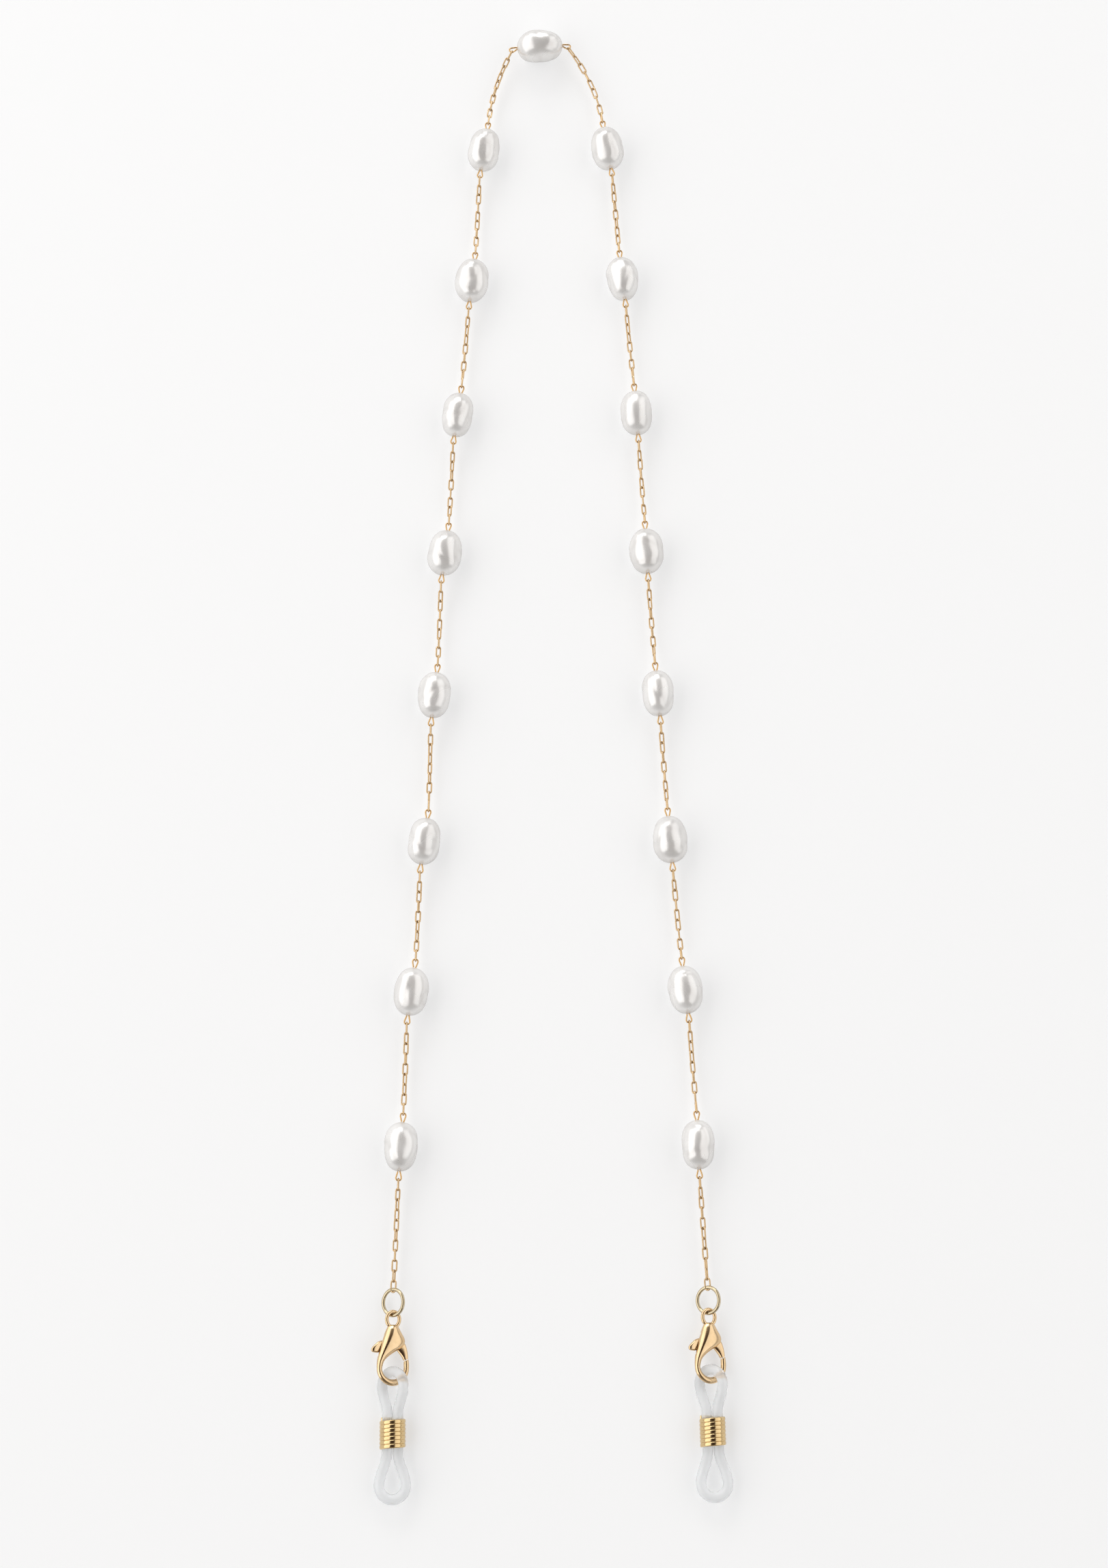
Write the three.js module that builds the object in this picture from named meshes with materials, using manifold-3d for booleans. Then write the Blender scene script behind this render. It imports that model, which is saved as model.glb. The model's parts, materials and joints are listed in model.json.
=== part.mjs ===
// An eyeglasses chain strap laid flat: seventeen oval imitation pearls on eye pins, joined by fine
// cable chain, with a jump ring, a lobster clasp and a silicone temple loop at each end.
// Millimetres, +Z up. +Y runs from the temple loops to the centre pearl, and +X from the left strand
// to the right one. The strap lies on z = 0, and x = y = 0 is the middle of its outline.
import * as THREE from "three";
import { mergeVertices } from "three/addons/utils/BufferGeometryUtils.js";
import Module from "manifold-3d";

const wasm = await Module();
wasm.setup();

// Driving dimensions.
const PEARL = { length: 9.5, radius: 3.35 };
const CENTRE_PEARL = { length: 9.8, radius: 3.55, tilt: 3.8 };
const EYE = { wire: 0.14, reach: 1.75, halfWidth: 0.56, droop: 20 };
const CHAIN = { radius: 0.45, endGap: 0.8, sag: 0.8 };
const SPAN = 17.5; // from eye to eye, nine links
const END_SPAN = 20.7; // from the last eye to the jump ring, eleven links
const RING = { radius: 2.45, wire: 0.35, roll: 36 };
const CLASP_ROLL = -18;
const CORD_RADIUS = 0.98;
const STRAND_HEIGHT = PEARL.radius;
const END_HEIGHT = 2.5;
const LOOP_TOP = 10.48; // from the clasp's eye to the middle of the temple loop's cord
const CENTRE = { x: -2.53, y: 150.48 };

// Which way each stretch of chain and each pearl runs, in degrees from straight down the layout
// and positive towards +X, from the centre pearl outwards. firstBow is how far the first stretch
// bows outwards, and endHeading is the way the clasp and the temple loop lie.
const STRANDS = {
  left: {
    out: -1,
    chain: [-16.1, -2.5, -4.3, -2.3, -1.6, -0.8, -2.0, -1.4, -2.0],
    pearls: [-7.9, -5.9, -7.4, -6.5, -5.6, -6.9, -7.0, -3.4],
    firstSpan: 17.5,
    firstBow: 0.9,
    endHeading: 0.6,
  },
  right: {
    out: 1,
    chain: [22.5, 4.5, 5.1, 3.7, 3.9, 3.8, 4.9, 3.9, 3.6],
    pearls: [9.2, 5.9, 3.9, 2.7, 4.6, 4.3, 6.0, 1.9],
    firstSpan: 18.7,
    firstBow: 1.3,
    endHeading: 1.2,
  },
};

const COLOURS = {
  pearl: new THREE.MeshStandardMaterial({ color: 0xf1eeea, roughness: 0.25 }),
  chain: new THREE.MeshStandardMaterial({ color: 0xe6c487, roughness: 0.3, metalness: 1 }),
  gold: new THREE.MeshStandardMaterial({ color: 0xd9a94f, roughness: 0.2, metalness: 1 }),
  steel: new THREE.MeshStandardMaterial({ color: 0xa9a9a6, roughness: 0.35, metalness: 1 }),
  silicone: new THREE.MeshStandardMaterial({ color: 0xe4e6e6, roughness: 0.35 }),
};

const radians = THREE.MathUtils.degToRad;

// The direction that a heading points in.
function along(heading) {
  return new THREE.Vector3(Math.sin(radians(heading)), -Math.cos(radians(heading)), 0);
}

// Booleans: a closed geometry as a manifold solid, and back.
function solid(geometry) {
  const bare = geometry.clone();
  bare.deleteAttribute("normal");
  bare.deleteAttribute("uv");
  const merged = mergeVertices(bare, 1e-4);
  return new wasm.Manifold(
    new wasm.Mesh({
      numProp: 3,
      vertProperties: merged.attributes.position.array,
      triVerts: new Uint32Array(merged.index.array),
    }),
  );
}

function geometryOf(made) {
  const mesh = made.getMesh();
  const geometry = new THREE.BufferGeometry();
  geometry.setAttribute("position", new THREE.BufferAttribute(mesh.vertProperties, 3));
  geometry.setIndex(new THREE.BufferAttribute(mesh.triVerts, 1));
  geometry.computeVertexNormals();
  return geometry;
}

// A plate of the given outline, centred on z = 0.
function plate(shape, thickness, curveSegments = 10) {
  const geometry = new THREE.ExtrudeGeometry(shape, {
    depth: thickness,
    bevelEnabled: false,
    curveSegments,
  });
  return geometry.translate(0, 0, -thickness / 2);
}

// A polygon with straight sides.
function polygon(points) {
  return new THREE.Shape(points.map(([x, y]) => new THREE.Vector2(x, y)));
}

// One wire eye: a teardrop loop whose point is in the pearl and whose wide end is reach beyond it.
function eyeLoop(pearlEnd) {
  const end = pearlEnd + EYE.reach;
  const half = [
    [0, pearlEnd - 0.45],
    [0.26, pearlEnd - 0.1],
    [0.47, end - 0.9],
    [EYE.halfWidth, end - 0.38],
    [0.32, end - 0.05],
  ];
  const mirrored = half.slice(1).reverse();
  const points = [
    ...half.map(([x, y]) => new THREE.Vector3(x, y, 0)),
    new THREE.Vector3(0, end, 0),
    ...mirrored.map(([x, y]) => new THREE.Vector3(-x, y, 0)),
  ];
  const curve = new THREE.CatmullRomCurve3(points, true);
  return new THREE.TubeGeometry(curve, 14, EYE.wire, 5, true);
}

// A pearl on its eye pin, lying along Y, with its upper eye's end at the origin.
function pearlGeometry({ length, radius }, droop = 0) {
  const reach = length / 2 + EYE.reach;
  const profile = [];
  const rings = 8;
  for (let i = 0; i <= rings; i++) {
    const angle = (Math.PI * i) / rings - Math.PI / 2;
    const r = i === 0 || i === rings ? 0 : radius * Math.cos(angle);
    profile.push(new THREE.Vector2(r, (length / 2) * Math.sin(angle)));
  }
  const body = new THREE.LatheGeometry(profile, 12);
  body.translate(0, 0, radius - PEARL.radius);
  let made = solid(body);
  for (const side of [1, -1]) {
    const eye = eyeLoop(length / 2);
    eye.translate(0, -length / 2, 0);
    eye.rotateZ(radians(droop));
    eye.translate(0, length / 2, 0);
    if (side < 0) eye.scale(1, -1, 1).index.array.reverse();
    made = made.add(solid(eye));
  }
  return geometryOf(made).translate(0, -reach, 0);
}

// A stretch of chain as a slender bar from its upper eye, at the origin, down -Y. It sags between
// its eyes, may bow sideways, and ends drop lower or higher by drop.
function stretchGeometry(span, bow, drop, sag) {
  const from = CHAIN.endGap;
  const to = span - CHAIN.endGap;
  const points = [];
  const steps = 6;
  for (let i = 0; i <= steps; i++) {
    const y = from + ((to - from) * i) / steps;
    const share = y / span;
    const arch = 4 * share * (1 - share);
    points.push(new THREE.Vector3(bow * arch, -y, drop * share - sag * arch));
  }
  const sides = 6;
  const section = new THREE.Shape();
  for (let i = 0; i < sides; i++) {
    const angle = (2 * Math.PI * i) / sides;
    const [x, y] = [CHAIN.radius * Math.cos(angle), CHAIN.radius * Math.sin(angle)];
    if (i === 0) section.moveTo(x, y);
    else section.lineTo(x, y);
  }
  return new THREE.ExtrudeGeometry(section, {
    extrudePath: new THREE.CatmullRomCurve3(points),
    steps,
  });
}

// The jump ring, lying on the XY plane, with the middle of its upper wire at the origin.
function ringGeometry() {
  return new THREE.TorusGeometry(RING.radius, RING.wire, 6, 24).translate(0, -RING.radius, 0);
}

// The clasp's own frame: the jump ring's wire passes through the eye at the origin, the hook is
// down -Y and the front is +Z.
const CLASP = { half: 1.3, cheekGap: 0.75, bore: 0.46 };
const RIVET = { x: 0.6, y: -4.8, radius: 0.4, length: 2.5 };
const HOOK = { x: 0, y: -9.8, inner: 2.12, outerX: 3.17, outerY: 3.35, tip: -8.65 };

function claspOutline() {
  const shape = new THREE.Shape();
  shape.moveTo(1.1, -2.0);
  shape.quadraticCurveTo(1.35, -3.2, 2.25, -4.6);
  shape.lineTo(2.2, -5.4);
  shape.lineTo(0.8, -6.5);
  shape.bezierCurveTo(-0.8, -7.5, HOOK.x - HOOK.inner, -7.8, HOOK.x - HOOK.inner, HOOK.y);
  shape.absarc(HOOK.x, HOOK.y, HOOK.inner, Math.PI, 2 * Math.PI, false);
  shape.lineTo(HOOK.x + HOOK.inner, HOOK.tip);
  shape.lineTo(HOOK.x + HOOK.outerX - 0.1, HOOK.tip + 0.5);
  shape.lineTo(HOOK.x + HOOK.outerX, HOOK.y);
  shape.absellipse(HOOK.x, HOOK.y, HOOK.outerX, HOOK.outerY, 0, Math.PI, true);
  shape.bezierCurveTo(-3.2, -7.2, -2.2, -4.8, -1.1, -2.0);
  return shape;
}

// The clasp's body: an eye, two cheeks with the trigger's slot between them, and the hook.
function claspBodyGeometry() {
  const head = solid(plate(claspOutline(), 2 * CLASP.half, 8));
  const eyeShape = new THREE.Shape();
  eyeShape.absellipse(0, -0.9, 1.6, 1.84, 0, 2 * Math.PI, false);
  const holeShape = new THREE.Path();
  holeShape.absellipse(0, -0.62, 0.93, 1.18, 0, 2 * Math.PI, true);
  eyeShape.holes.push(holeShape);
  const eye = solid(plate(eyeShape, 2.2, 9));
  // Seen from the side, the body is thickest at the head and thins out towards the hook.
  const side = [
    [1.5, 0.32],
    [-1.2, 0.42],
    [-1.9, 0.8],
    [-2.6, CLASP.half],
    [-7.6, CLASP.half],
    [-9.6, 0.6],
    [-13.7, 0.48],
  ];
  const sideOutline = polygon([
    ...side.map(([y, half]) => [y, half]),
    ...side.reverse().map(([y, half]) => [y, -half]),
  ]);
  const envelope = plate(sideOutline, 12, 1);
  // The outline is drawn on YZ, so its first axis turns onto Y and its second onto Z.
  envelope.applyMatrix4(
    new THREE.Matrix4().set(0, 0, 1, 0, 1, 0, 0, 0, 0, 1, 0, 0, 0, 0, 0, 1),
  );
  const slot = new THREE.BoxGeometry(12, 4.0, 2 * CLASP.cheekGap).translate(0, -5.6, 0);
  const bore = new THREE.CylinderGeometry(CLASP.bore, CLASP.bore, 4, 12);
  bore.rotateX(Math.PI / 2).translate(RIVET.x, RIVET.y, 0);
  return geometryOf(
    head.add(eye).intersect(solid(envelope)).subtract(solid(slot)).subtract(solid(bore)),
  );
}

// The trigger: a thumb nub on the left, and on the right the gate that shuts the hook.
function triggerGeometry() {
  const shape = new THREE.Shape();
  shape.moveTo(-2.5, -5.2);
  shape.quadraticCurveTo(-4.0, -5.2, -4.05, -6.1);
  shape.quadraticCurveTo(-4.0, -6.9, -2.7, -6.9);
  shape.lineTo(-1.2, -6.2);
  shape.lineTo(0.4, -5.8);
  shape.quadraticCurveTo(1.7, -6.8, 2.1, -8.5);
  shape.lineTo(2.95, -8.04);
  shape.quadraticCurveTo(3.0, -6.4, 1.9, -4.4);
  shape.quadraticCurveTo(0.9, -3.5, -0.4, -4.2);
  const hole = new THREE.Path();
  hole.absarc(RIVET.x, RIVET.y, CLASP.bore, 0, 2 * Math.PI, true);
  shape.holes.push(hole);
  return plate(shape, 0.8, 5).translate(0, 0, -0.3);
}

function rivetGeometry() {
  const geometry = new THREE.CylinderGeometry(RIVET.radius, RIVET.radius, RIVET.length, 12);
  return geometry.rotateX(Math.PI / 2).translate(RIVET.x, RIVET.y, 0);
}

// The trigger's torsion spring, as the ring of space that its turns fill round the rivet.
function springGeometry() {
  const profile = [
    [0.5, -0.22],
    [0.85, -0.22],
    [0.85, 0.22],
    [0.5, 0.22],
    [0.5, -0.22],
  ];
  const ring = new THREE.LatheGeometry(
    profile.map(([r, y]) => new THREE.Vector2(r, y)),
    12,
  );
  return ring.rotateX(Math.PI / 2).translate(RIVET.x, RIVET.y, 0.4);
}

// The silicone temple loop: one endless cord pinched by the coil sleeve into an upper loop, which
// hangs in the hook, and a lower loop, which grips the temple arm. The coil sleeve's middle is
// the origin, and each loop ends in a round bend.
const LOOP = {
  waist: 1.03,
  waistEnd: 3.5,
  upper: { half: 2.6, middle: 8.8, roll: 36 },
  lower: { half: 2.53, middle: 9.6, roll: 4 },
};

class LoopCurve extends THREE.Curve {
  // t runs once round the cord in four quarters: down the left strand from the top of the upper
  // loop to the waist, on to the end of the lower loop, and back up the right strand.
  getPoint(t, target = new THREE.Vector3()) {
    const quarter = Math.min(3, Math.floor(4 * t));
    const done = 4 * t - quarter;
    const upper = quarter === 0 || quarter === 3;
    const left = quarter < 2;
    const { half, middle, roll } = upper ? LOOP.upper : LOOP.lower;
    const fromWaist = quarter % 2 === 0 ? 1 - done : done;
    const walked = fromWaist * (middle + (half * Math.PI) / 2);
    let x = half;
    let y = walked;
    if (walked <= middle) {
      const flare = THREE.MathUtils.smoothstep(walked, LOOP.waistEnd, middle);
      x = LOOP.waist + (half - LOOP.waist) * flare;
    } else {
      const angle = (walked - middle) / half;
      x = half * Math.cos(angle);
      y = middle + half * Math.sin(angle);
    }
    if (left) x = -x;
    const lift = radians(roll) * THREE.MathUtils.smoothstep(y, 0, middle);
    return target.set(x * Math.cos(lift), upper ? y : -y, x * Math.sin(lift));
  }
}

function loopGeometry() {
  return new THREE.TubeGeometry(new LoopCurve(), 48, CORD_RADIUS, 8, true);
}

// The coil sleeve: seven close turns of flat wire, as a ribbed tube.
const COIL = { turns: 7, length: 6, bore: 2.09, groove: 2.3, radius: 2.475 };

function coilGeometry() {
  const pitch = COIL.length / COIL.turns;
  const profile = [new THREE.Vector2(COIL.bore, -COIL.length / 2)];
  for (let i = 0; i < COIL.turns; i++) {
    const start = -COIL.length / 2 + i * pitch;
    if (i === 0) profile.push(new THREE.Vector2(COIL.groove, start));
    profile.push(new THREE.Vector2(COIL.radius, start + pitch / 2));
    profile.push(new THREE.Vector2(COIL.groove, start + pitch));
  }
  profile.push(new THREE.Vector2(COIL.bore, COIL.length / 2));
  profile.push(profile[0].clone());
  return new THREE.LatheGeometry(profile, 16);
}

// Placing. Each piece's own origin is the eye, wire or bar that it hangs from.
const strap = new THREE.Group();

function add(parent, name, geometry, material) {
  const mesh = new THREE.Mesh(geometry, material);
  mesh.name = name;
  parent.add(mesh);
  return mesh;
}

function place(object, at, heading, roll = 0) {
  object.position.copy(at);
  object.rotation.set(0, radians(roll), radians(heading), "ZYX");
  strap.add(object);
  return object;
}

function buildCentre() {
  const centre = add(strap, "pearl_centre", pearlGeometry(CENTRE_PEARL, EYE.droop), COLOURS.pearl);
  centre.geometry.translate(0, CENTRE_PEARL.length / 2 + EYE.reach, 0);
  // The pearl lies across the layout, so its pin turns from Y onto X.
  centre.position.set(CENTRE.x, CENTRE.y, STRAND_HEIGHT);
  centre.rotation.z = radians(90 + CENTRE_PEARL.tilt);
}

// Where the chain leaves the centre pearl's eye: the lower corner of its wide end.
function centreEye(out) {
  const corner = new THREE.Vector3(EYE.reach - 0.15, -0.45, 0);
  corner.applyAxisAngle(new THREE.Vector3(0, 0, 1), radians(-EYE.droop));
  corner.x = out * (corner.x + CENTRE_PEARL.length / 2);
  corner.applyAxisAngle(new THREE.Vector3(0, 0, 1), radians(CENTRE_PEARL.tilt));
  return corner.add(new THREE.Vector3(CENTRE.x, CENTRE.y, STRAND_HEIGHT));
}

function buildEnd(side, at, heading) {
  const ring = new THREE.Group();
  add(ring, `jump_ring_${side}`, ringGeometry(), COLOURS.gold);
  place(ring, at, heading, -RING.roll);
  at.addScaledVector(along(heading), 2 * RING.radius);

  const clasp = new THREE.Group();
  add(clasp, `clasp_body_${side}`, claspBodyGeometry(), COLOURS.gold);
  add(clasp, `clasp_trigger_${side}`, triggerGeometry(), COLOURS.gold);
  add(clasp, `clasp_rivet_${side}`, rivetGeometry(), COLOURS.gold);
  add(clasp, `clasp_spring_${side}`, springGeometry(), COLOURS.steel);
  place(clasp, at, heading, -CLASP_ROLL);
  at.addScaledVector(along(heading), LOOP_TOP + LOOP.upper.middle + LOOP.upper.half);

  const loop = new THREE.Group();
  add(loop, `silicone_loop_${side}`, loopGeometry(), COLOURS.silicone);
  add(loop, `coil_sleeve_${side}`, coilGeometry(), COLOURS.gold);
  place(loop, at, heading);
}

function buildStrand(side, strand) {
  const at = centreEye(strand.out);
  strand.pearls.forEach((pearlHeading, i) => {
    const first = i === 0;
    const span = first ? strand.firstSpan : SPAN;
    const bow = first ? strand.out * strand.firstBow : 0;
    const chain = add(
      strap,
      `chain_${side}_${i + 1}`,
      stretchGeometry(span, bow, 0, CHAIN.sag),
      COLOURS.chain,
    );
    place(chain, at, strand.chain[i]);
    at.addScaledVector(along(strand.chain[i]), span);
    place(add(strap, `pearl_${side}_${i + 1}`, pearlGeometry(PEARL), COLOURS.pearl), at, pearlHeading);
    at.addScaledVector(along(pearlHeading), PEARL.length + 2 * EYE.reach);
  });
  const last = strand.chain.length;
  const drop = END_HEIGHT - STRAND_HEIGHT;
  const chain = add(
    strap,
    `chain_${side}_${last}`,
    stretchGeometry(END_SPAN, 0, drop, CHAIN.sag / 2),
    COLOURS.chain,
  );
  place(chain, at, strand.chain[last - 1]);
  at.addScaledVector(along(strand.chain[last - 1]), END_SPAN);
  at.z = END_HEIGHT;
  buildEnd(side, at, strand.endHeading);
}

buildCentre();
for (const [side, strand] of Object.entries(STRANDS)) buildStrand(side, strand);

export default strap;
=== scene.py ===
"""An eyeglasses chain strap laid flat: oval pearls on eye pins, fine cable chain, and at each end a
jump ring, a lobster clasp and a silicone temple loop pinched by a coil sleeve.

Lengths are in millimetres until a piece's mesh is made, and headings are in degrees from straight
down the layout, positive towards +X.
"""

import json
import math

import bmesh
import bpy
from mathutils import Matrix, Vector, noise

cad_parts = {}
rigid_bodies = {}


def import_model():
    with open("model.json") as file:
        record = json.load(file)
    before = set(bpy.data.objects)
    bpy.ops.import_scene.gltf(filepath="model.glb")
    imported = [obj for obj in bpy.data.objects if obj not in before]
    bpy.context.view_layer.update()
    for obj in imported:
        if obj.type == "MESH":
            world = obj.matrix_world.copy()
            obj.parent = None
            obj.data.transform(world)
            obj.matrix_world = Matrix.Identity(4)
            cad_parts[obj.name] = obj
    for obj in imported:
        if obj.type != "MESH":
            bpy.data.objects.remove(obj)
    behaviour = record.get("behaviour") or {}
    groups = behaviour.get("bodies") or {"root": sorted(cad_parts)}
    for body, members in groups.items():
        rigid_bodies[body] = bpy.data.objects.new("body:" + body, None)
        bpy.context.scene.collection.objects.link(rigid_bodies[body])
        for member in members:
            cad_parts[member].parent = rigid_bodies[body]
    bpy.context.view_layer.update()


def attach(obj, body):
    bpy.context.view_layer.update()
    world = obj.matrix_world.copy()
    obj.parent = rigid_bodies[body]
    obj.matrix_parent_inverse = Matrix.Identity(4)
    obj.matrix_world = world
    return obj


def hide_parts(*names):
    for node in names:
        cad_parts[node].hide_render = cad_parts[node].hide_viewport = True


for leftover in list(bpy.data.objects):
    bpy.data.objects.remove(leftover)

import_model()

MM = 0.001
TURN = 2 * math.pi
UP = Vector((0, 0, 1))

# The strap's own dimensions.
PEARL_LENGTH, PEARL_RADIUS = 9.5, 3.35
CENTRE_LENGTH, CENTRE_RADIUS, CENTRE_TILT = 9.8, 3.55, 3.8
PIN_WIRE = 0.165
EYE_REACH, EYE_DROOP = 1.75, 20
LINK_WIRE = 0.17
LINK_HALF_WIDTH = 0.43
LINK_LENGTH = 2.25
LAST_LINK_HALF_WIDTH = 0.54
SPAN, END_SPAN = 17.5, 20.7
SAG = 0.8
RING_RADIUS, RING_WIRE, RING_ROLL = 2.45, 0.35, 36
CLASP_ROLL = 18
CORD_RADIUS = 0.99
STRAND_HEIGHT, END_HEIGHT = 3.35, 2.5
CENTRE = Vector((-2.53, 150.48, STRAND_HEIGHT))

STRANDS = {
    "left": {
        "out": -1,
        "chain": (-16.1, -2.5, -4.3, -2.3, -1.6, -0.8, -2.0, -1.4, -2.0),
        "pearls": (-7.9, -5.9, -7.4, -6.5, -5.6, -6.9, -7.0, -3.4),
        "first_span": 17.5,
        "first_bow": 0.9,
        "first_links": 10,
        "end_heading": 0.6,
    },
    "right": {
        "out": 1,
        "chain": (22.5, 4.5, 5.1, 3.7, 3.9, 3.8, 4.9, 3.9, 3.6),
        "pearls": (9.2, 5.9, 3.9, 2.7, 4.6, 4.3, 6.0, 1.9),
        "first_span": 18.7,
        "first_bow": 1.3,
        "first_links": 9,
        "end_heading": 1.2,
    },
}


# ---------------------------------------------------------------- finishes


class Value:
    """A socket of a finish, with the arithmetic that the finishes use."""

    def __init__(self, finish, socket):
        self.finish, self.socket = finish, socket

    def maths(self, operation, a, b):
        return self.finish.node("ShaderNodeMath", {"operation": operation}, {0: a, 1: b})

    def __add__(self, other):
        return self.maths("ADD", self, other)

    __radd__ = __add__

    def __mul__(self, other):
        return self.maths("MULTIPLY", self, other)

    __rmul__ = __mul__


class Finish:
    """A material, or the air's light, and the nodes that it is made of."""

    def __init__(self, name, owner=None):
        self.material = owner or bpy.data.materials.new(name)
        self.material.use_nodes = True
        self.tree = self.material.node_tree
        self.tree.nodes.clear()

    def node(self, kind, settings=None, inputs=None, output=0):
        made = self.tree.nodes.new(kind)
        for name, value in (settings or {}).items():
            if name == "stops":
                ramp = made.color_ramp
                for position, colour in value[len(ramp.elements) :]:
                    ramp.elements.new(position)
                for element, (position, colour) in zip(ramp.elements, value):
                    element.position, element.color = position, (*colour, 1)
            else:
                setattr(made, name, value)
        for name, value in (inputs or {}).items():
            if isinstance(value, Value):
                self.tree.links.new(value.socket, made.inputs[name])
            else:
                made.inputs[name].default_value = value
        return Value(self, made.outputs[output]) if made.outputs else None

    def noise(self, size, detail=2.0, distortion=0.0):
        """Cloudy variation from 0 to 1 whose patches are about size millimetres across."""
        inputs = {
            "Vector": self.node("ShaderNodeTexCoord", output="Object"),
            "Scale": 1 / (size * MM),
            "Detail": detail,
            "Distortion": distortion,
        }
        return self.node("ShaderNodeTexNoise", None, inputs)

    def mark(self):
        """How strongly a point was marked for painted shade, from 0 to 1, when its surface was made.
        """
        return self.node("ShaderNodeAttribute", {"attribute_name": "mark"}, output="Fac")

    def between(self, factor, a, b):
        """The colour a where factor is 0 and b where it is 1."""
        a, b = [c if isinstance(c, Value) else (*c, 1) for c in (a, b)]
        settings = {"data_type": "RGBA", "clamp_factor": True}
        return self.node("ShaderNodeMix", settings, {0: factor, 6: a, 7: b}, output=2)

    def bump(self, height, depth):
        """A Normal whose relief is depth millimetres from height 0 to 1."""
        inputs = {"Height": height, "Distance": depth * MM, "Strength": 1.0}
        return self.node("ShaderNodeBump", None, inputs)

    def done(self, **sockets):
        """Ends the finish with a Principled surface whose sockets are named in lower case."""
        inputs = {name.replace("_", " ").title(): value for name, value in sockets.items()}
        names = {"Ior": "IOR", "Specular Ior Level": "Specular IOR Level"}
        inputs = {names.get(name, name): value for name, value in inputs.items()}
        surface = self.node("ShaderNodeBsdfPrincipled", None, inputs)
        self.node("ShaderNodeOutputMaterial", None, {"Surface": surface})
        return self.material


def pearl_nacre():
    """Imitation nacre: milky white, with grey painted shade along its creases."""
    f = Finish("pearl_nacre")
    clouds = f.noise(5.0, 2.0, distortion=0.6)
    grain = f.noise(1.6, 1.0)
    warm = f.between(clouds, (0.84, 0.825, 0.81), (0.89, 0.885, 0.875))
    return f.done(
        # Painted shade: the base colour greys along the marked creases, standing in for the grey
        # reflection bands that break the highlights there.
        base_color=f.between(f.mark() * 0.35, warm, (0.66, 0.64, 0.625)),
        metallic=0.42,
        roughness=clouds * 0.14 + 0.2,
        specular_ior_level=0.15,
        specular_tint=(0.5, 0.49, 0.48, 1),
        coat_weight=0.1,
        coat_roughness=0.14,
        normal=f.bump(grain, 0.006),
    )


def gold_plate(name, colour, deep, roughness, relief, shaded_contacts=False):
    """Polished gold plate whose colour and gloss drift a little over the metal; it can also carry
    painted shade at marked points.
    """
    f = Finish(name)
    drift = f.noise(1.4, 3.0)
    shade = f.between(drift * 0.6, colour, deep)
    gloss = drift * 0.08 + roughness
    if shaded_contacts:
        # Painted shade: marked points darken to a near-black brown where the chain's links touch.
        shade = f.between(f.mark(), shade, (0.14, 0.06, 0.018))
        gloss = f.mark() * 0.15 + gloss
    grain = f.noise(0.25, 2.0)
    return f.done(
        base_color=shade,
        metallic=1.0,
        roughness=gloss,
        normal=f.bump(grain, relief),
    )


def clear_silicone():
    f = Finish("clear_silicone")
    haze = f.noise(3.0, 2.0)
    body = f.between(haze, (0.93, 0.95, 0.965), (0.97, 0.975, 0.98))
    bloom = f.noise(0.5, 3.0)
    return f.done(
        base_color=body,
        roughness=haze * 0.08 + 0.2,
        ior=1.41,
        transmission_weight=0.7,
        normal=f.bump(bloom, 0.003),
    )


def spring_steel():
    f = Finish("spring_steel")
    drawn = f.noise(0.3, 2.0)
    return f.done(
        base_color=f.between(drawn, (0.5, 0.5, 0.49), (0.62, 0.62, 0.6)),
        metallic=1.0,
        roughness=drawn * 0.1 + 0.28,
        normal=f.bump(drawn, 0.004),
    )


def studio_paper():
    """Pale paper with a light table's faint glow."""
    f = Finish("studio_paper")
    fibre = f.noise(6.0, 2.0)
    return f.done(
        base_color=f.between(fibre, (0.50, 0.50, 0.50), (0.505, 0.505, 0.505)),
        roughness=0.9,
        specular_ior_level=0.1,
        emission_color=(0.98, 0.99, 1.0, 1),
        emission_strength=0.465,
    )


NACRE = pearl_nacre()
CHAIN_GOLD = gold_plate(
    "chain_gold", (0.74, 0.54, 0.32), (0.52, 0.35, 0.18), 0.2, 0.003, shaded_contacts=True
)
PIN_GOLD = gold_plate("pin_gold", (0.79, 0.54, 0.28), (0.60, 0.38, 0.16), 0.18, 0.003)
CLASP_GOLD = gold_plate("clasp_gold", (0.80, 0.60, 0.37), (0.58, 0.385, 0.19), 0.15, 0.002)
COIL_GOLD = gold_plate("coil_gold", (0.76, 0.58, 0.32), (0.54, 0.36, 0.15), 0.14, 0.003)
RING_GOLD = gold_plate("ring_gold", (0.60, 0.51, 0.35), (0.38, 0.30, 0.18), 0.17, 0.003)
SILICONE = clear_silicone()
STEEL = spring_steel()


# ---------------------------------------------------------------- surfaces


def smoothed(mesh, degrees):
    """Shades a mesh smooth, apart from the edges that turn by more than so many degrees."""
    mesh.shade_smooth()
    mesh.set_sharp_from_angle(angle=math.radians(degrees))
    return mesh


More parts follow.
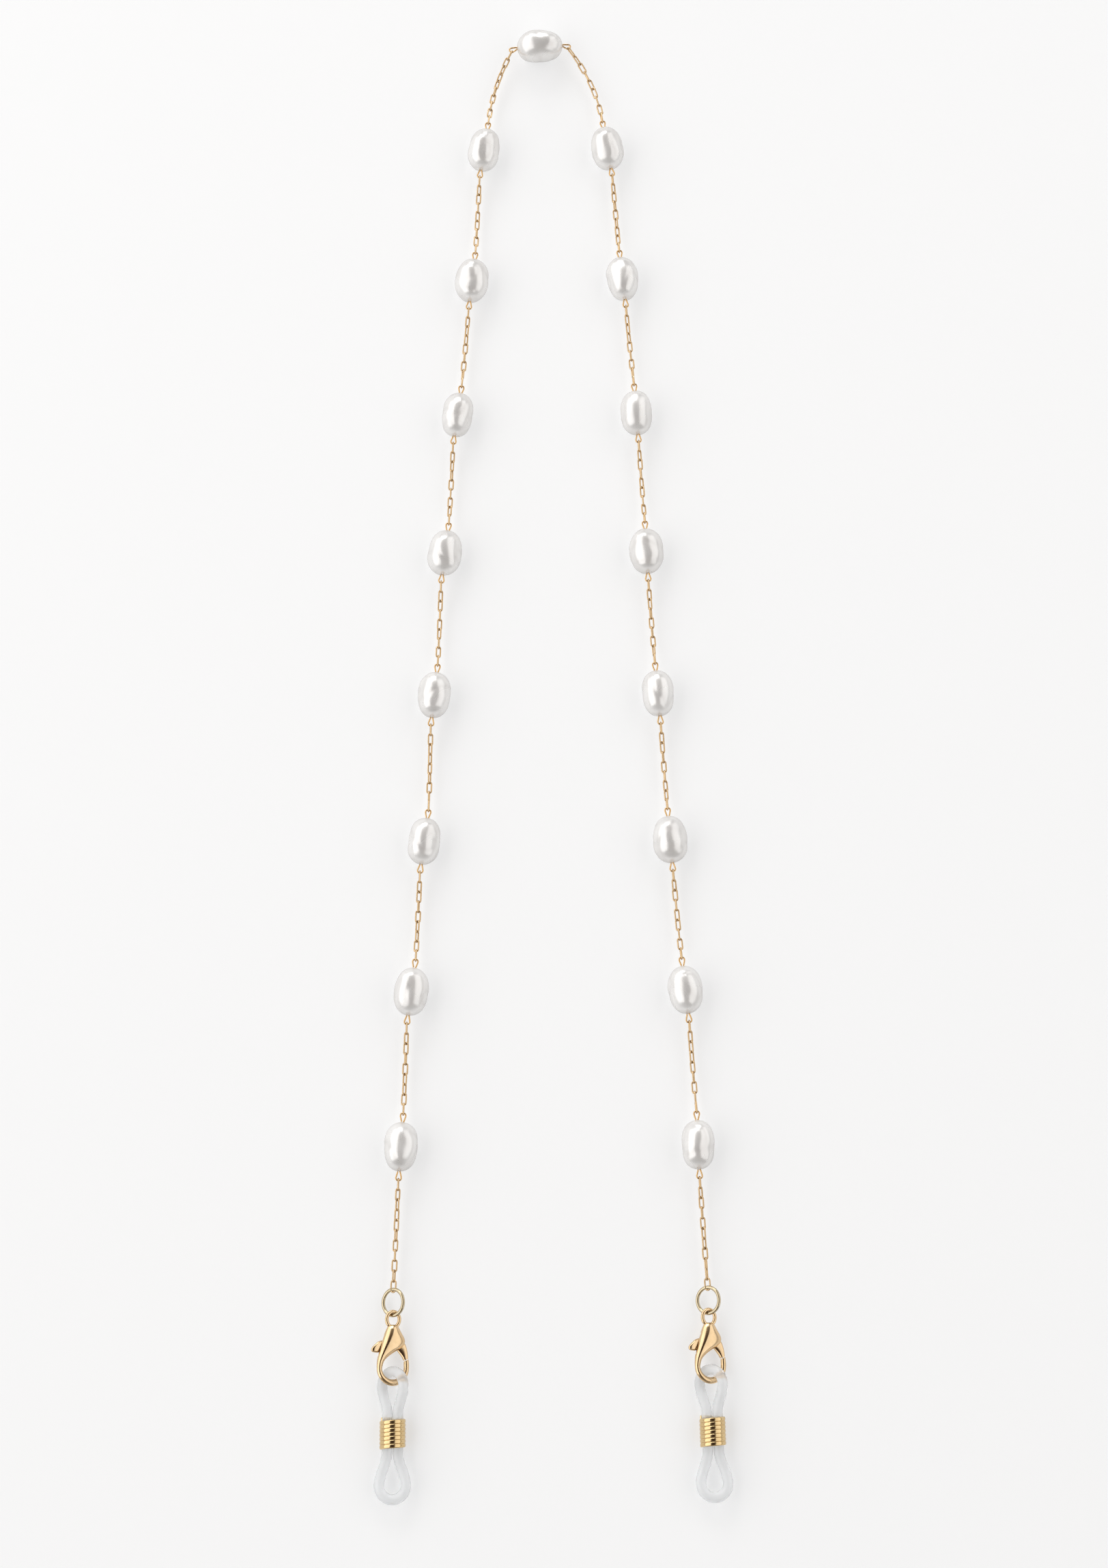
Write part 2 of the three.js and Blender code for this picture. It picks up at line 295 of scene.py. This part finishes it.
class Surface:
    """The skin of one piece, as rings of points joined by faces. Each point has a mark from 0 to 1."""

    def __init__(self):
        self.points, self.faces, self.marks = [], [], []

    def skin(self, rings, loop=False, marks=None):
        start, around = len(self.points), len(rings[0])
        for i, ring in enumerate(rings):
            self.points.extend(ring)
            self.marks.extend(marks[i] if marks else [0.0] * around)
        for i in range(len(rings) if loop else len(rings) - 1):
            a = start + i * around
            b = start + (i + 1) % len(rings) * around
            for k in range(around):
                m = (k + 1) % around
                self.faces.append((a + k, a + m, b + m, b + k))
        if not loop:
            last = start + (len(rings) - 1) * around
            self.faces.append(tuple(range(start + around - 1, start - 1, -1)))
            self.faces.append(tuple(range(last, last + around)))

    def wire(self, path, radius, up, sides=10, loop=False, section=None, mark=None):
        """Wire along a path. up is square to the path, or nearly, at all its points or at each."""
        section = section or [
            (radius * math.cos(TURN * k / sides), radius * math.sin(TURN * k / sides))
            for k in range(sides)
        ]
        count = len(path)
        rings, marks = [], []
        for i, point in enumerate(path):
            before = path[i - 1] if loop or i else point
            after = path[(i + 1) % count] if loop or i < count - 1 else point
            tangent = (after - before).normalized()
            lift = up[i] if isinstance(up, list) else up
            lift = (lift - lift.dot(tangent) * tangent).normalized()
            side = tangent.cross(lift)
            # A cut end is rounded over by two smaller rings.
            steps = [(0, 1.0)]
            if not loop and i == 0:
                steps = [(0, 0.62), (0.16, 0.9), (0.45, 1.0)]
            if not loop and i == count - 1:
                steps = [(-0.45, 1.0), (-0.16, 0.9), (0, 0.62)]
            for back, size in steps:
                middle = point + tangent * back * radius
                ring = [middle + (lift * a + side * b) * size for a, b in section]
                rings.append(ring)
                if mark:
                    marks.append([mark(i, p - middle) for p in ring])
        self.skin(rings, loop, marks)

    def moved(self, matrix):
        self.points = [matrix @ point for point in self.points]
        return self

    def mesh(self, name, smooth=40):
        made = bpy.data.meshes.new(name)
        made.from_pydata([point * MM for point in self.points], [], self.faces)
        marked = made.attributes.new("mark", "FLOAT", "POINT")
        marked.data.foreach_set("value", self.marks)
        bm = bmesh.new()
        bm.from_mesh(made)
        bmesh.ops.recalc_face_normals(bm, faces=bm.faces)
        bm.to_mesh(made)
        bm.free()
        return smoothed(made, smooth)


def shown(name, mesh, body, material, stands_for=()):
    """Puts a finished mesh on its body."""
    made = bpy.data.objects.new(name, mesh)
    bpy.context.scene.collection.objects.link(made)
    mesh.materials.clear()
    mesh.materials.append(material)
    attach(made, body)
    if stands_for:
        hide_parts(*stands_for)
    return made


def worked(mesh, others, operation, smooth=40):
    """A mesh joined with other meshes, or cut by them."""
    made = bpy.data.objects.new("work", mesh)
    bpy.context.scene.collection.objects.link(made)
    tools = []
    for other in others:
        tool = bpy.data.objects.new("tool", other)
        bpy.context.scene.collection.objects.link(tool)
        tools.append(tool)
        modifier = made.modifiers.new("cut", "BOOLEAN")
        modifier.operation, modifier.solver, modifier.object = operation, "EXACT", tool
    bpy.context.view_layer.update()
    evaluated = made.evaluated_get(bpy.context.evaluated_depsgraph_get())
    result = bpy.data.meshes.new_from_object(evaluated)
    for used in [made, *tools]:
        bpy.data.objects.remove(used)
    return smoothed(result, smooth)


def circle(radius, sides, middle=(0, 0), z=0.0):
    """Points round a level circle."""
    x, y = middle
    angles = [TURN * k / sides for k in range(sides)]
    return [Vector((x + radius * math.cos(a), y + radius * math.sin(a), z)) for a in angles]


def turned(axis, degrees):
    return Matrix.Rotation(math.radians(degrees), 4, axis)


def hanging(at, heading, roll=0.0):
    """The frame of a piece that hangs from a point, with -Y down the strap and +Z up."""
    return Matrix.Translation(at) @ turned("Z", heading) @ turned("Y", roll)


def in_metres(seat):
    """The same placing, for a mesh that is already in metres."""
    return Matrix.Scale(MM, 4) @ seat @ Matrix.Scale(1 / MM, 4)


def along(heading):
    """The level direction of a heading."""
    return Vector((math.sin(math.radians(heading)), -math.cos(math.radians(heading)), 0))


def eased(value, start, end):
    share = min(1.0, max(0.0, (value - start) / (end - start)))
    return share * share * (3 - 2 * share)


def curve(points, steps):
    """A smooth path through points, with so many steps between each two."""
    path = []
    count = len(points)
    for i in range(count - 1):
        p0, p1 = points[max(0, i - 1)], points[i]
        p2, p3 = points[i + 1], points[min(count - 1, i + 2)]
        for k in range(steps):
            t = k / steps
            path.append(
                0.5
                * (
                    2 * p1
                    + (p2 - p0) * t
                    + (2 * p0 - 5 * p1 + 4 * p2 - p3) * t * t
                    + (3 * p1 - p0 - 3 * p2 + p3) * t * t * t
                )
            )
    path.append(points[-1].copy())
    return path


# ---------------------------------------------------------------- pearls


def pearl_skin(length, radius, seed):
    """An oval pearl along Y about its middle, a little uneven, with a drilled hole at each end."""
    rows, around = 56, 72
    a1, a2 = (TURN * math.modf(seed * step)[0] for step in (0.618, 0.381))
    uneven = 0.7 + 0.6 * math.modf(seed * 0.457)[0]
    own = Vector((7.3 * seed, 0, 0))
    mouth = ((0.6, 0.17), (0.02, 0.19))  # how deep inside the drilled hole, and its radius there
    rings = [[(hole, inset - length / 2, 0.0)] * around for inset, hole in mouth]
    for i in range(1, rows):
        t = -math.cos(math.pi * i / rows)
        girth = (1 - abs(t) ** 2.5) ** (1 / 2.1)
        ring = []
        for k in range(around):
            a = TURN * k / around
            out = girth * radius
            at = Vector((out * math.cos(a), t * length / 2, out * math.sin(a))) + own
            fold = noise.noise(at / 4.6, noise_basis="PERLIN_NEW")
            crease = 1 / (1 + (fold / 0.15) ** 2)
            wave = 0.026 * math.sin(2 * a + 2.6 * t + a1) + 0.01 * math.sin(3 * a - 4.2 * t + a2)
            swell = 0.024 * noise.noise(at / 2.6, noise_basis="PERLIN_NEW") - 0.034 * crease
            ring.append((radius * girth * (1 + uneven * wave + swell), t * length / 2, crease))
        rings.append(ring)
    rings += [[(hole, length / 2 - inset, 0.0)] * around for inset, hole in reversed(mouth)]
    surface = Surface()
    # The creases' marks carry the nacre's painted shade; the dent they also make in the skin is real
    # shape.
    surface.skin(
        [
            [
                Vector((r * math.cos(TURN * k / around), y, r * math.sin(TURN * k / around)))
                for k, (r, y, _) in enumerate(ring)
            ]
            for ring in rings
        ],
        marks=[[crease for _, _, crease in ring] for ring in rings],
    )
    # However uneven it is, its lowest point rests where a true oval's would.
    fit = radius / -min(point.z for point in surface.points)
    return surface.moved(Matrix.Diagonal((fit, 1, fit, 1)))


def eye_path(length, droop):
    """The wire of one eye, from the pearl's end round a teardrop and back to close on itself."""
    end = length / 2
    tip = end + EYE_REACH
    half = [
        (0.06, end - 0.1),
        (0.24, end + 0.2),
        (0.42, tip - 0.95),
        (0.52, tip - 0.46),
        (0.37, tip - 0.1),
    ]
    points = [Vector((x, y, 0)) for x, y in half]
    points.append(Vector((0, tip, 0)))
    points += [Vector((-x, y, 0)) for x, y in half[:0:-1]]
    points.append(Vector((-0.17, end + 0.12, 0)))
    path = curve(points, 5)
    swing = Matrix.Translation((0, end, 0)) @ turned("Z", droop) @ Matrix.Translation((0, -end, 0))
    return [swing @ point for point in path]


def eye_pin(length, droop=0.0):
    """One wire through the pearl, along Y about its middle, with an eye at each end."""
    surface = Surface()
    upper = eye_path(length, droop)
    lower = [Vector((point.x, -point.y, point.z)) for point in upper]
    shank = [Vector((0, length * (0.5 - share), 0)) for share in (0.1, 0.3, 0.5, 0.7, 0.9)]
    surface.wire(upper[::-1] + shank + lower, PIN_WIRE, UP, sides=10)
    return surface


def centre_pearl():
    lying = Matrix.Translation(CENTRE) @ turned("Z", 90 + CENTRE_TILT)
    lifted = Matrix.Translation((0, 0, CENTRE_RADIUS - PEARL_RADIUS))
    body = pearl_skin(CENTRE_LENGTH, CENTRE_RADIUS, 3).moved(lifted @ lying)
    pin = eye_pin(CENTRE_LENGTH, EYE_DROOP).moved(lying)
    name = "pearl_centre"
    shown("centre_pearl", body.mesh("centre_pearl"), name, NACRE, [name])
    shown("centre_eye_pin", pin.mesh("centre_eye_pin"), name, PIN_GOLD)


def strand_pearl(side, number, at, heading):
    """A pearl that hangs by its upper eye from the stretch of chain above it."""
    name = f"pearl_{side}_{number}"
    middle = hanging(at, heading) @ Matrix.Translation((0, -PEARL_LENGTH / 2 - EYE_REACH, 0))
    seed = number + (0 if side == "left" else 11)
    body = pearl_skin(PEARL_LENGTH, PEARL_RADIUS, seed).moved(middle)
    pin = eye_pin(PEARL_LENGTH).moved(middle)
    shown(f"nacre_{name}", body.mesh(name), name, NACRE, [name])
    shown(f"eye_pin_{side}_{number}", pin.mesh("eye_pin"), name, PIN_GOLD)


# ---------------------------------------------------------------- chain


def link_path(length, half_width):
    """A long oval link's wire along Y about its middle, in the XY plane."""
    straight = length / 2 - half_width
    path = []
    for end in (1, -1):
        for k in range(9):
            a = math.pi * k / 8
            x = end * half_width * math.cos(a)
            path.append(Vector((x, end * (straight + half_width * math.sin(a)), 0)))
        path.append(Vector((-end * half_width, end * straight * 0.33, 0)))
        path.append(Vector((-end * half_width, -end * straight * 0.33, 0)))
    return path


def chain_stretch(side, number, at, heading, span, bow, drop, sag, links, far_wire):
    """The real links of one stretch of chain, from the eye above to the wire below."""
    body = f"chain_{side}_{number}"

    def middle_line(y):
        share = y / span
        arch = 4 * share * (1 - share)
        return Vector((bow * arch, -y, drop * share - sag * arch))

    start, end = -PIN_WIRE, span + far_wire
    fine = [middle_line(start + (end - start) * k / 200) for k in range(201)]
    walked = [0.0]
    for a, b in zip(fine, fine[1:]):
        walked.append(walked[-1] + (b - a).length)
    pitch = walked[-1] / links
    joints = []
    for k in range(links + 1):
        i = min(range(201), key=lambda n: abs(walked[n] - k * pitch))
        joints.append(fine[i])
    length = max(LINK_LENGTH, pitch + 2 * LINK_WIRE)

    surface = Surface()
    twist = 72 + 9 * math.sin(2.3 * number + (0 if side == "left" else 1.7))
    roll = 90 - twist * 0.25
    for k, (a, b) in enumerate(zip(joints, joints[1:])):
        left = links - 1 - k
        turn = roll + twist * k + 8 * math.sin(1.9 * k + number)
        half_width = LINK_HALF_WIDTH
        if k == 0 or left == 0:
            turn = 82
        # The links at a jump ring: a wider last one, tilted so that the ring's wire fits through it.
        if far_wire == RING_WIRE and left == 1:
            turn = 112
        if far_wire == RING_WIRE and left == 0:
            turn, half_width = 30, LAST_LINK_HALF_WIDTH
        down = (b - a).normalized()
        across = down.cross(UP).normalized()
        facing = across.cross(down)
        seat = Matrix((across, -down, facing)).transposed().to_4x4()
        link = Surface()
        path = link_path(length, half_width)

        def contact_shade(i, out, path=path):
            """Painted shade: darkest on the inside of a link's ends, where the next link touches it.
            """
            y = abs(path[i].y) / (length / 2)
            inward = max(0.0, -out.normalized().dot(path[i].normalized()))
            return min(1.0, max(0.0, (y - 0.72) / 0.28) * (0.15 + 1.1 * inward))

        # The links' ends are marked for the chain gold's painted shade.
        link.wire(path, LINK_WIRE, UP, sides=8, loop=True, mark=contact_shade)
        link.moved(Matrix.Translation((a + b) / 2) @ seat @ turned("Y", turn))
        base = len(surface.points)
        surface.points += link.points
        surface.marks += link.marks
        surface.faces += [tuple(base + n for n in face) for face in link.faces]
    surface.moved(hanging(at, heading))
    mesh = surface.mesh(f"chain_links_{side}_{number}", smooth=60)
    shown(mesh.name, mesh, body, CHAIN_GOLD, [body])


# ---------------------------------------------------------------- end fittings

RIVET = (0.6, -4.8)  # where the lever turns, from the middle of the wire in the clasp's eye
HOOK_MIDDLE = -9.8  # the middle of the hook's bend, down the clasp


def jump_ring(side, seat):
    """Round wire closed to a fine cut, with the middle of its upper wire at the origin."""
    surface = Surface()
    cut, gap = math.radians(98), 0.008
    count = 72
    path = []
    for k in range(count + 1):
        a = cut + gap + (TURN - 2 * gap) * k / count
        path.append(Vector((RING_RADIUS * math.cos(a), RING_RADIUS * (math.sin(a) - 1), 0)))
    surface.wire(path, RING_WIRE, UP, sides=16)
    mesh = surface.moved(seat).mesh(f"jump_ring_{side}_wire")
    shown(mesh.name, mesh, f"jump_ring_{side}", RING_GOLD, [f"jump_ring_{side}"])


def cast_skin(stations, around=32, crest=1.5, full=0.5):
    """A cast shape through stations, each two edge points, half a thickness, the height of its
    middle, and how far its crest lies from the first edge to the second."""
    surface = Surface()
    rings = []
    for (ax, ay), (bx, by), half, middle, ridge in stations:
        a, b = Vector((ax, ay, middle)), Vector((bx, by, middle))
        top = a.lerp(b, ridge)
        ring = []
        for k in range(around):
            angle = TURN * k / around
            w, up = math.cos(angle), math.sin(angle)
            edge = b if w > 0 else a
            height = half * (1 - abs(w) ** crest) ** full * (1 if up > 0 else -1)
            if abs(up) < 1e-9:
                height = 0.0
            ring.append(top.lerp(edge, abs(w)) + UP * height)
        rings.append(ring)
    surface.skin(rings)
    return surface


def refined(stations, steps=4):
    """Stations with smooth steps between them."""
    rows = [Vector((*a, *b)) for a, b, *_ in stations]
    sizes = [Vector(rest) for _, _, *rest in stations]
    return [
        ((edge[0], edge[1]), (edge[2], edge[3]), size[0], size[1], size[2])
        for edge, size in zip(curve(rows, steps), curve(sizes, steps))
    ]


def clasp_body_stations():
    body = [
        ((-0.6, -1.75), (0.6, -1.75), 0.42, 0, 0.55),
        ((-1.0, -2.0), (0.96, -1.95), 0.66, 0, 0.56),
        ((-1.34, -2.6), (1.26, -2.5), 0.96, 0, 0.54),
        ((-1.72, -3.5), (1.74, -3.4), 1.2, 0, 0.44),
        ((-2.05, -4.4), (2.22, -4.25), 1.28, 0, 0.34),
        ((-2.32, -5.25), (2.34, -5.1), 1.28, 0, 0.28),
        ((-2.55, -6.0), (1.75, -5.95), 1.22, 0, 0.26),
        ((-2.75, -6.7), (0.85, -6.55), 1.12, 0, 0.28),
        ((-2.92, -7.4), (-0.15, -7.15), 1.0, 0, 0.32),
        ((-3.06, -8.15), (-1.05, -7.8), 0.84, 0, 0.38),
        ((-3.15, -8.95), (-1.75, -8.6), 0.7, 0, 0.44),
    ]
    for degrees in range(180, 361, 15):
        a = math.radians(degrees)
        outer = (3.17 * math.cos(a), HOOK_MIDDLE + 3.35 * math.sin(a))
        inner = (2.12 * math.cos(a), HOOK_MIDDLE + 2.12 * math.sin(a))
        body.append((outer, inner, 0.56 if degrees < 330 else 0.52, 0, 0.5))
    body.append(((3.15, HOOK_MIDDLE + 0.85), (2.12, HOOK_MIDDLE + 0.65), 0.5, 0, 0.5))
    body.append(((3.06, HOOK_MIDDLE + 1.62), (2.13, HOOK_MIDDLE + 1.17), 0.47, 0, 0.5))
    return body


def round_bar(middle, radius, low, high):
    """A plain round bar along Z, as a tool for a bore or a pocket."""
    surface = Surface()
    surface.skin([circle(radius, 28, middle, z) for z in (low, high)])
    return surface


def slab(low, high):
    """A plain block between two corners, as a tool for a slot."""
    surface = Surface()
    corners = ((low[0], low[1]), (high[0], low[1]), (high[0], high[1]), (low[0], high[1]))
    surface.skin([[Vector((x, y, z)) for x, y in corners] for z in (low[2], high[2])])
    return surface


def clasp_casting(side, seat):
    """The eye, the two cheeks with the lever's slot between them, and the hook, in one casting."""
    casting = cast_skin(refined(clasp_body_stations(), 3), around=32, crest=1.7, full=0.5)
    eye = Surface()
    path = [
        Vector((1.24 * math.cos(TURN * k / 48), -0.74 + 1.46 * math.sin(TURN * k / 48), 0))
        for k in range(48)
    ]
    eye.wire(path, 0.36, UP, sides=16, loop=True)
    slot = slab((-6, -7.6, -0.74), (6, -3.6, 0.14))
    pocket = round_bar(RIVET, 0.95, -0.3, 0.66)
    bore = round_bar(RIVET, 0.42, -0.98, 0.98)
    joined = worked(casting.mesh("casting"), [eye.mesh("eye")], "UNION")
    tools = [tool.mesh("tool") for tool in (slot, pocket, bore)]
    mesh = worked(joined, tools, "DIFFERENCE", 32)
    mesh.transform(in_metres(seat))
    body = f"clasp_{side}"
    shown(f"clasp_casting_{side}", mesh, body, CLASP_GOLD, [f"clasp_body_{side}"])


def clasp_lever(side, seat):
    """The thumb nub and the gate, as one lever with a bore for the rivet."""
    stations = [
        ((-4.24, -6.5), (-4.24, -6.3), 0.1, -0.2, 0.5),
        ((-4.14, -6.72), (-4.14, -6.04), 0.3, -0.2, 0.5),
        ((-3.85, -6.88), (-3.82, -5.66), 0.44, -0.22, 0.5),
        ((-3.4, -6.94), (-3.36, -5.26), 0.48, -0.24, 0.5),
        ((-2.95, -6.94), (-2.95, -4.92), 0.44, -0.27, 0.5),
        ((-2.35, -6.72), (-2.4, -4.7), 0.38, -0.3, 0.5),
        ((-1.4, -6.25), (-1.6, -4.55), 0.37, -0.3, 0.5),
        ((-0.5, -6.0), (-0.7, -4.3), 0.37, -0.3, 0.5),
        ((0.1, -5.9), (0.1, -3.98), 0.37, -0.3, 0.5),
        ((0.45, -6.1), (1.15, -3.86), 0.37, -0.3, 0.5),
        ((0.75, -6.45), (1.95, -4.5), 0.38, -0.3, 0.5),
        ((1.05, -6.85), (2.5, -5.4), 0.42, -0.29, 0.5),
        ((1.45, -7.35), (2.8, -6.3), 0.48, -0.25, 0.5),
        ((1.82, -7.9), (2.94, -7.15), 0.5, -0.18, 0.5),
        ((2.1, -8.45), (2.99, -8.06), 0.47, -0.12, 0.5),
    ]
    lever = cast_skin(refined(stations, 3), around=24, crest=3.2, full=0.42)
    bore = round_bar(RIVET, 0.43, -1.0, 1.0)
    mesh = worked(lever.mesh("lever"), [bore.mesh("bore")], "DIFFERENCE", 32)
    mesh.transform(in_metres(seat))
    body = f"clasp_trigger_{side}"
    shown(f"clasp_lever_{side}", mesh, body, CLASP_GOLD, [body])


def clasp_rivet(side, seat):
    """The rivet between the cheeks, with a chamfer at each end."""
    end, chamfer, head, shank = 0.96, 0.33, 0.41, 0.4
    profile = [(-end, chamfer), (-0.88, head), (-0.76, shank)]
    profile += [(0.68, shank), (0.88, head), (end, chamfer)]
    surface = Surface()
    surface.skin([circle(radius, 24, RIVET, z) for z, radius in profile])
    mesh = surface.moved(seat).mesh(f"rivet_pin_{side}")
    shown(mesh.name, mesh, f"clasp_{side}", CLASP_GOLD, [f"clasp_rivet_{side}"])


def clasp_torsion_spring(side, seat):
    """The lever's spring: fine wire wound nearly three times round the rivet."""
    wire, coil, turns = 0.07, 0.66, 2.75
    bottom, rise, steps = 0.27, 0.3, 90
    path, up = [], []
    for k in range(steps + 1):
        a = TURN * turns * k / steps
        out = Vector((math.cos(a), math.sin(a), 0))
        path.append(Vector((*RIVET, bottom + rise * k / steps)) + out * coil)
        up.append(out)
    surface = Surface()
    surface.wire(path, wire, up, sides=8)
    mesh = surface.moved(seat).mesh(f"torsion_spring_{side}")
    shown(mesh.name, mesh, f"clasp_{side}", STEEL, [f"clasp_spring_{side}"])


# The silicone cord's route: pinched at the waist, and flared into a loop above and a loop below.
WAIST, WAIST_END = 1.03, 3.5
UPPER_LOOP = {"half": 2.6, "middle": 8.8, "roll": 36}
LOWER_LOOP = {"half": 2.53, "middle": 9.6, "roll": 4}
LOOP_TOP = 10.48  # from the clasp's eye to the middle of the loop's cord


def cord_point(quarter, done):
    """A point of the cord, whose four quarters run round it from the top of the upper loop."""
    upper, left = quarter in (0, 3), quarter < 2
    loop = UPPER_LOOP if upper else LOWER_LOOP
    half, middle = loop["half"], loop["middle"]
    walked = (1 - done if quarter % 2 == 0 else done) * (middle + half * math.pi / 2)
    if walked <= middle:
        x = WAIST + (half - WAIST) * eased(walked, WAIST_END, middle)
        y = walked
    else:
        angle = (walked - middle) / half
        x, y = half * math.cos(angle), middle + half * math.sin(angle)
    if left:
        x = -x
    lift = math.radians(loop["roll"]) * eased(y, 0, middle)
    return Vector((x * math.cos(lift), y if upper else -y, x * math.sin(lift)))


def silicone_loop(side, seat):
    surface = Surface()
    path = [cord_point(quarter, k / 44) for quarter in range(4) for k in range(44)]
    surface.wire(path, CORD_RADIUS, UP, sides=28, loop=True)
    mesh = surface.moved(seat).mesh(f"silicone_cord_{side}")
    body = f"silicone_loop_{side}"
    shown(mesh.name, mesh, body, SILICONE, [body])


def coil_sleeve(side, seat):
    """Seven close turns of flattened wire, wound round both strands of the cord."""
    turns, length, outer = 7, 6.0, 2.475
    pitch = length / turns
    axial, radial = 0.47 * pitch, 0.21
    section = []
    for k in range(16):
        a = TURN * k / 16
        c, s = math.cos(a), math.sin(a)
        section.append(
            (
                radial * math.copysign(abs(c) ** 0.8, c),
                axial * math.copysign(abs(s) ** 0.88, s),
            )
        )
    count = 48 * turns
    path, up = [], []
    travel = length - pitch
    for k in range(count + 1):
        share = k / count
        a = TURN * turns * share + math.radians(200)
        out = Vector((math.cos(a), 0, math.sin(a)))
        path.append(out * (outer - radial) + Vector((0, travel * (0.5 - share), 0)))
        up.append(out)
    surface = Surface()
    surface.wire(path, radial, up, section=section)
    mesh = surface.moved(seat).mesh(f"coil_wire_{side}", smooth=50)
    body = f"coil_sleeve_{side}"
    shown(mesh.name, mesh, body, COIL_GOLD, [body])


def end_fittings(side, at, heading):
    jump_ring(side, hanging(at, heading, -RING_ROLL))
    at = at + along(heading) * 2 * RING_RADIUS
    seat = hanging(at, heading, CLASP_ROLL)
    clasp_casting(side, seat)
    clasp_lever(side, seat)
    clasp_rivet(side, seat)
    clasp_torsion_spring(side, seat)
    at = at + along(heading) * (LOOP_TOP + UPPER_LOOP["middle"] + UPPER_LOOP["half"])
    seat = hanging(at, heading)
    silicone_loop(side, seat)
    coil_sleeve(side, seat)


# ---------------------------------------------------------------- the strap


def centre_eye(out):
    """Where the chain leaves the centre pearl's eye: the lower corner of its wide end."""
    corner = turned("Z", -EYE_DROOP) @ Vector((EYE_REACH - 0.15, -0.45, 0))
    corner.x = out * (corner.x + CENTRE_LENGTH / 2)
    return CENTRE + turned("Z", CENTRE_TILT) @ corner


def strand(side, plan):
    at = centre_eye(plan["out"])
    for i, pearl_heading in enumerate(plan["pearls"]):
        first = i == 0
        span = plan["first_span"] if first else SPAN
        bow = plan["out"] * plan["first_bow"] if first else 0
        links = plan["first_links"] if first else 9
        heading = plan["chain"][i]
        chain_stretch(side, i + 1, at, heading, span, bow, 0, SAG, links, PIN_WIRE)
        at = at + along(heading) * span
        strand_pearl(side, i + 1, at, pearl_heading)
        at = at + along(pearl_heading) * (PEARL_LENGTH + 2 * EYE_REACH)
    heading, drop = plan["chain"][-1], END_HEIGHT - STRAND_HEIGHT
    chain_stretch(side, 9, at, heading, END_SPAN, 0, drop, SAG / 2, 11, RING_WIRE)
    at = at + along(heading) * END_SPAN
    at.z = END_HEIGHT
    end_fittings(side, at, plan["end_heading"])


centre_pearl()
for side, plan in STRANDS.items():
    strand(side, plan)


# ---------------------------------------------------------------- studio


def studio_floor():
    surface = Surface()
    reach = 15000
    corners = ((-reach, -reach), (reach, -reach), (reach, reach), (-reach, reach))
    surface.points = [Vector((*corner, 0)) for corner in corners]
    surface.marks = [0.0] * 4
    surface.faces = [(0, 1, 2, 3)]
    floor = bpy.data.objects.new("paper_floor", surface.mesh("paper_floor"))
    floor.data.materials.append(studio_paper())
    bpy.context.scene.collection.objects.link(floor)


def softbox(name, at, size, watts, target=(0, 0, 0)):
    lamp = bpy.data.lights.new(name, "AREA")
    lamp.shape, lamp.size, lamp.size_y, lamp.energy = "RECTANGLE", size[0], size[1], watts
    made = bpy.data.objects.new(name, lamp)
    made.location = at
    made.rotation_euler = (Vector(target) - Vector(at)).to_track_quat("-Z", "Y").to_euler()
    bpy.context.scene.collection.objects.link(made)


def studio_air():
    """Dim air that is dark straight above, between the soft boxes, and lighter low down."""
    world = bpy.data.worlds.new("studio_air")
    f = Finish("studio_air", world)
    way = f.node("ShaderNodeTexCoord", output="Generated")
    height = f.node("ShaderNodeSeparateXYZ", None, {0: way}, output="Z")
    stops = [
        (0.0, (0.66, 0.655, 0.65)),
        (0.1, (0.56, 0.555, 0.55)),
        (0.3, (0.31, 0.305, 0.30)),
        (0.5, (0.28, 0.27, 0.25)),
        (0.86, (0.13, 0.10, 0.08)),
        (1.0, (0.026, 0.012, 0.005)),
    ]
    air = f.node("ShaderNodeValToRGB", {"stops": stops}, {0: height})
    light = f.node("ShaderNodeBackground", None, {"Color": air, "Strength": 1.0})
    f.node("ShaderNodeOutputWorld", None, {"Surface": light})
    bpy.context.scene.world = world


def studio_camera():
    lens = bpy.data.cameras.new("studio_camera")
    lens.lens, lens.sensor_width, lens.sensor_fit = 60, 36, "AUTO"
    lens.clip_start, lens.clip_end = 0.05, 60
    made = bpy.data.objects.new("studio_camera", lens)
    made.location = (0.00055, -0.1447, 0.5119)
    made.rotation_euler = (math.radians(14.38), 0, 0)
    bpy.context.scene.collection.objects.link(made)
    bpy.context.scene.camera = made


studio_floor()
studio_air()
softbox("left_box", (-0.82, 0.3, 0.66), (2.5, 1.15), 14, (0, 0.3, 0))
softbox("right_box", (0.82, 0.3, 0.68), (2.5, 1.05), 9, (0, 0.3, 0))
softbox("back_box", (-0.25, 1.5, 0.8), (0.9, 0.7), 7)
studio_camera()
bpy.context.scene.view_settings.view_transform = "Standard"

bpy.context.view_layer.update()
